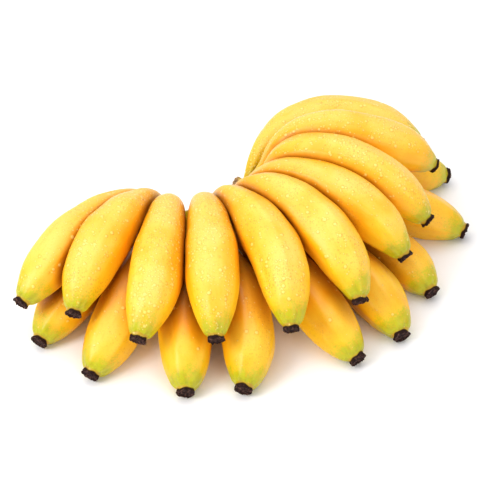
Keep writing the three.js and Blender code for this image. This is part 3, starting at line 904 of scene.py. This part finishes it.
def build_row(row):
    """A row of bananas over their nodes, each with its own seed and so its own small differences."""
    settings = bpy.context.scene.banana_peel
    nodes, gap_shade_reach, first_seed, wet, tints = ROWS[row]
    material = row_material(row, gap_shade_reach)
    spines = {node: spine_of(node) for node in UPPER_NODES + LOWER_NODES}
    for order, node in enumerate(nodes):
        seed = first_seed + SEED_STEP * order
        rng = np.random.default_rng(seed)
        shape = {
            "ridge_height": getattr(settings, f"{row}_ridge") * rng.uniform(*RIDGE_SHARES),
            "ridge_sharpness": rng.uniform(*RIDGE_SHARPNESS),
            "ridge_start": rng.uniform(0.0, 2.0 * math.pi),
            "stub_length": settings.stub_length * rng.uniform(*STUB_SHARES),
            "seed": seed,
            "tint": tints[order],
            "wet": wet[order],
        }
        piece = peel_surface(node, order + first_seed, shape, spines)
        piece.data.materials.append(material)
        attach(piece, "root")
        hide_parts(node)


class BANANAS_OT_upper_row(bpy.types.Operator):
    """Grow the ten bananas of the upper row"""

    bl_idname = "bananas.upper_row"
    bl_label = "Upper Row"

    def execute(self, context):
        build_row("upper")
        return {"FINISHED"}


class BANANAS_OT_lower_row(bpy.types.Operator):
    """Grow the nine bananas of the lower row"""

    bl_idname = "bananas.lower_row"
    bl_label = "Lower Row"

    def execute(self, context):
        build_row("lower")
        return {"FINISHED"}


# ---------- crown ----------

# The crown's outline across its arc: distance outwards from the circle of the roots, and height.
CROWN_OUTLINE = np.array(
    [(-10.0, 0.0), (-5.0, 0.0), (0.0, 1.5), (3.0, 6.0), (3.5, 12.0), (2.5, 18.0), (1.0, 21.5)]
    + [(-2.0, 24.5), (-6.0, 26.0), (-9.5, 25.0), (-11.5, 21.0), (-12.0, 14.0), (-11.5, 6.0)]
) * MM
CROWN_AROUND = 120
CROWN_ALONG = 300
CROWN_FIRST, CROWN_LAST = math.radians(222.0), math.radians(358.0)  # bearings of its two ends
CROWN_ROUNDING = math.radians(8.0)  # the arc over which an end is drawn in
CROWN_END_SIZE = 0.45  # an end's size as a share of the full section
LIFT_FROM = math.radians(325.0)  # where the crown begins to rise towards its last end
LIFT_LOW, LIFT_MORE = 0.88, 0.28  # its height there, and what is added by the last end
FOOT = 0.2 * MM  # how low the outline is where the crown lies on the ground
FIRST_RIB, RIB_SPACING, RIB_DEPTH = 232.0, 13.0, 0.5 * MM  # the first two in degrees
LUMP_SHARE, SPLINTER_SHARE, SPLINTER_SQUEEZE = 0.6, 0.5, 0.18
CROWN_LUMP, CROWN_SPLINTER, CROWN_KNOT = 9 * MM, 1.6 * MM, 2.4 * MM
CROWN_SEEDS = (71, 72, 73)
CUT_TURN = (-0.2, 0.4)  # how far the skin turns inwards where the cut begins and is full
CLEAR_OF_GROUND = 0.3 * MM  # the skin has relief above this height
END_CUT = 0.6  # how much the two end points count as cut


def circle_through(points):
    """Centre and radius of the circle nearest to points in plan: |p|^2 = 2 c.p + (r^2 - |c|^2) solved by
    least squares."""
    left = np.column_stack([2.0 * points, np.ones(len(points))])
    cx, cy, rest = np.linalg.lstsq(left, (points**2).sum(axis=1), rcond=None)[0]
    return np.array([cx, cy]), math.sqrt(rest + cx * cx + cy * cy)


def crown_surface(fibre_height):
    """The crown: its outline carried along the circle through the stalks' roots and drawn in to a round
    end at both sides, in size like sqrt(1 - (1 - t)^2). Ribs, a cosine of the bearing, run on from the
    stalks. The outside has splinters along the arc, and the inner side is the rough cut."""
    roots = np.array([rings_of(node)[1] for node in UPPER_NODES + LOWER_NODES])
    centre, radius = circle_through(roots[:, :2])
    corners = CROWN_OUTLINE[::-1]
    knots = np.arange(len(corners)) / len(corners)
    share_around = np.arange(CROWN_AROUND) / CROWN_AROUND
    outline = spline_weights(knots, share_around, closed=True) @ corners
    outline[:, 1] = np.maximum(outline[:, 1], 0.0)
    middle = corners.mean(axis=0)
    bearing = np.linspace(CROWN_FIRST, CROWN_LAST, CROWN_ALONG)[:, None]
    from_end = np.minimum(bearing - CROWN_FIRST, CROWN_LAST - bearing) / CROWN_ROUNDING
    share = np.clip(from_end, 0.0, 1.0)
    size = CROWN_END_SIZE + (1.0 - CROWN_END_SIZE) * np.sqrt(1.0 - (1.0 - share) ** 2)
    section = middle + (outline[None] - middle) * size[..., None]
    section[..., 1] = np.where(outline[None, :, 1] < FOOT, outline[None, :, 1], section[..., 1])
    section[..., 1] *= LIFT_LOW + LIFT_MORE * smooth_step(LIFT_FROM, CROWN_LAST, bearing)
    out, height = section[..., 0], section[..., 1]
    reach = radius + out
    east, north = np.cos(bearing), np.sin(bearing)
    grid = np.stack([centre[0] + reach * east, centre[1] + reach * north, height], axis=-1)
    normal = grid_normals(grid)
    inner = smooth_step(*CUT_TURN, -(normal[..., 0] * east + normal[..., 1] * north))
    arc = np.broadcast_to(bearing * radius, inner.shape)
    rib = np.cos(2.0 * math.pi * (np.degrees(bearing) - FIRST_RIB) / RIB_SPACING)
    lump_seed, splinter_seed, knot_seed = CROWN_SEEDS
    relief = RIB_DEPTH * (rib - 1.0) * (1.0 - inner)
    relief = relief + fibre_height * LUMP_SHARE * wave_noise(grid, CROWN_LUMP, lump_seed)
    flat = np.stack([arc, height * SPLINTER_SQUEEZE, out * SPLINTER_SQUEEZE], axis=-1)
    splinters = wave_noise(flat, CROWN_SPLINTER, splinter_seed) * (1.0 - inner)
    relief = relief + fibre_height * SPLINTER_SHARE * splinters
    relief = relief + fibre_height * np.abs(wave_noise(grid, CROWN_KNOT, knot_seed)) * inner
    relief = np.where(grid[..., 2] < CLEAR_OF_GROUND, 0.0, relief)
    grid = grid + normal * relief[..., None]
    grid[..., 2] = np.maximum(grid[..., 2], 0.0)
    start, end = grid[0].mean(axis=0), grid[-1].mean(axis=0)
    straight = np.stack([arc, out, height], axis=-1)
    layers = {
        "straight": (straight, straight[0].mean(axis=0), straight[-1].mean(axis=0)),
        "cut": (inner, END_CUT, END_CUT),
    }
    return closed_skin("crown_body", grid, start, end, layers)


class BANANAS_OT_crown(bpy.types.Operator):
    """Build the crown that all the stalks grow from"""

    bl_idname = "bananas.crown"
    bl_label = "Crown"

    def execute(self, context):
        colors = context.scene.banana_crown
        piece = crown_surface(colors.fibre_height)
        piece.data.materials.append(crown_material(colors))
        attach(piece, "root")
        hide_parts(CROWN_NODE)
        return {"FINISHED"}


# ---------- stage ----------


LIGHTS_AIM = (0.0, -0.02, 0.03)
# Each light's name, size and place; its power is the setting of the same name.
LIGHTS = (
    ("key", (0.5, 0.7), (-0.84, -0.52, 0.8)),
    ("top", (1.4, 1.4), (-0.1, 0.25, 1.2)),
    ("fill", (0.8, 0.8), (0.7, -0.95, 0.5)),
)
FLOOR_DROP = 0.2 * MM  # how far the floor lies below the bunch's flat undersides
CAMERA_AIM = Vector((-0.84, -29.92, -3.65)) * MM  # from the middle of the bunch's box
SENSOR_WIDTH = 36.0  # in millimetres
WHITE = (1.0, 1.0, 1.0, 1.0)


def add_light(name, size, power, place):
    """A soft rectangular light at a place, turned to the bunch."""
    lamp = bpy.data.lights.new(name, "AREA")
    lamp.shape = "RECTANGLE"
    lamp.size, lamp.size_y = size
    lamp.energy = power
    light = bpy.data.objects.new(name, lamp)
    direction = Vector(LIGHTS_AIM) - Vector(place)
    turn = direction.to_track_quat("-Z", "Y").to_matrix().to_4x4()
    light.matrix_world = Matrix.Translation(place) @ turn
    bpy.context.scene.collection.objects.link(light)


class BANANAS_OT_stage(bpy.types.Operator):
    """Set the pale floor, the soft lights and the camera"""

    bl_idname = "bananas.stage"
    bl_label = "Stage"

    def execute(self, context):
        scene = context.scene
        settings = scene.banana_stage
        half = settings.floor_size / 2.0
        mesh = bpy.data.meshes.new("floor")
        corners = [(x * half, y * half, -FLOOR_DROP) for x, y in ((-1, -1), (1, -1), (1, 1), (-1, 1))]
        mesh.from_pydata(corners, [], [(0, 1, 2, 3)])
        floor = bpy.data.objects.new("floor", mesh)
        floor.data.materials.append(floor_material(tuple(settings.floor)))
        scene.collection.objects.link(floor)

        world = bpy.data.worlds.new("even white")
        world.use_nodes = True
        background = world.node_tree.nodes["Background"]
        background.inputs["Color"].default_value = WHITE
        background.inputs["Strength"].default_value = settings.sky
        scene.world = world
        for name, size, place in LIGHTS:
            add_light(name, size, getattr(settings, f"{name}_power"), place)

        low, high = Vector(CAD_BOX[0]), Vector(CAD_BOX[1])
        aim = (low + high) / 2.0 + CAMERA_AIM
        back = Vector((0.0, -math.cos(settings.elevation), math.sin(settings.elevation)))
        lens = bpy.data.cameras.new("camera")
        lens.lens = settings.lens
        lens.sensor_width = SENSOR_WIDTH
        camera = bpy.data.objects.new("camera", lens)
        camera.location = aim + back * settings.distance
        camera.rotation_euler = (math.pi / 2.0 - settings.elevation, 0.0, 0.0)
        scene.collection.objects.link(camera)
        scene.camera = camera
        scene.view_settings.view_transform = "Standard"
        scene.view_settings.look = "None"
        return {"FINISHED"}


# ---------- panel ----------


class BANANAS_PT_bunch(bpy.types.Panel):
    """The bunch's settings and the buttons that build it"""

    bl_label = "Banana Bunch"
    bl_idname = "BANANAS_PT_bunch"
    bl_space_type = "VIEW_3D"
    bl_region_type = "UI"
    bl_category = "Bananas"

    def draw(self, context):
        layout = self.layout
        scene = context.scene
        for settings in (scene.banana_peel, scene.banana_crown, scene.banana_stage):
            box = layout.box()
            for name in settings.__annotations__:
                box.prop(settings, name)
        for operator in OPERATORS:
            layout.operator(operator.bl_idname)


SETTINGS = (PeelSettings, CrownSettings, StageSettings)
OPERATORS = (BANANAS_OT_upper_row, BANANAS_OT_lower_row, BANANAS_OT_crown, BANANAS_OT_stage)


def register():
    """Make the settings, the operators and the panel known to Blender."""
    for kind in (*SETTINGS, *OPERATORS, BANANAS_PT_bunch):
        bpy.utils.register_class(kind)
    bpy.types.Scene.banana_peel = bpy.props.PointerProperty(type=PeelSettings)
    bpy.types.Scene.banana_crown = bpy.props.PointerProperty(type=CrownSettings)
    bpy.types.Scene.banana_stage = bpy.props.PointerProperty(type=StageSettings)


def unregister():
    """Take them out again."""
    del bpy.types.Scene.banana_stage
    del bpy.types.Scene.banana_crown
    del bpy.types.Scene.banana_peel
    for kind in reversed((*SETTINGS, *OPERATORS, BANANAS_PT_bunch)):
        bpy.utils.unregister_class(kind)


def main():
    """Build the bunch and its stage."""
    register()
    bpy.ops.bananas.upper_row()
    bpy.ops.bananas.lower_row()
    bpy.ops.bananas.crown()
    bpy.ops.bananas.stage()


if __name__ == "__main__":
    main()
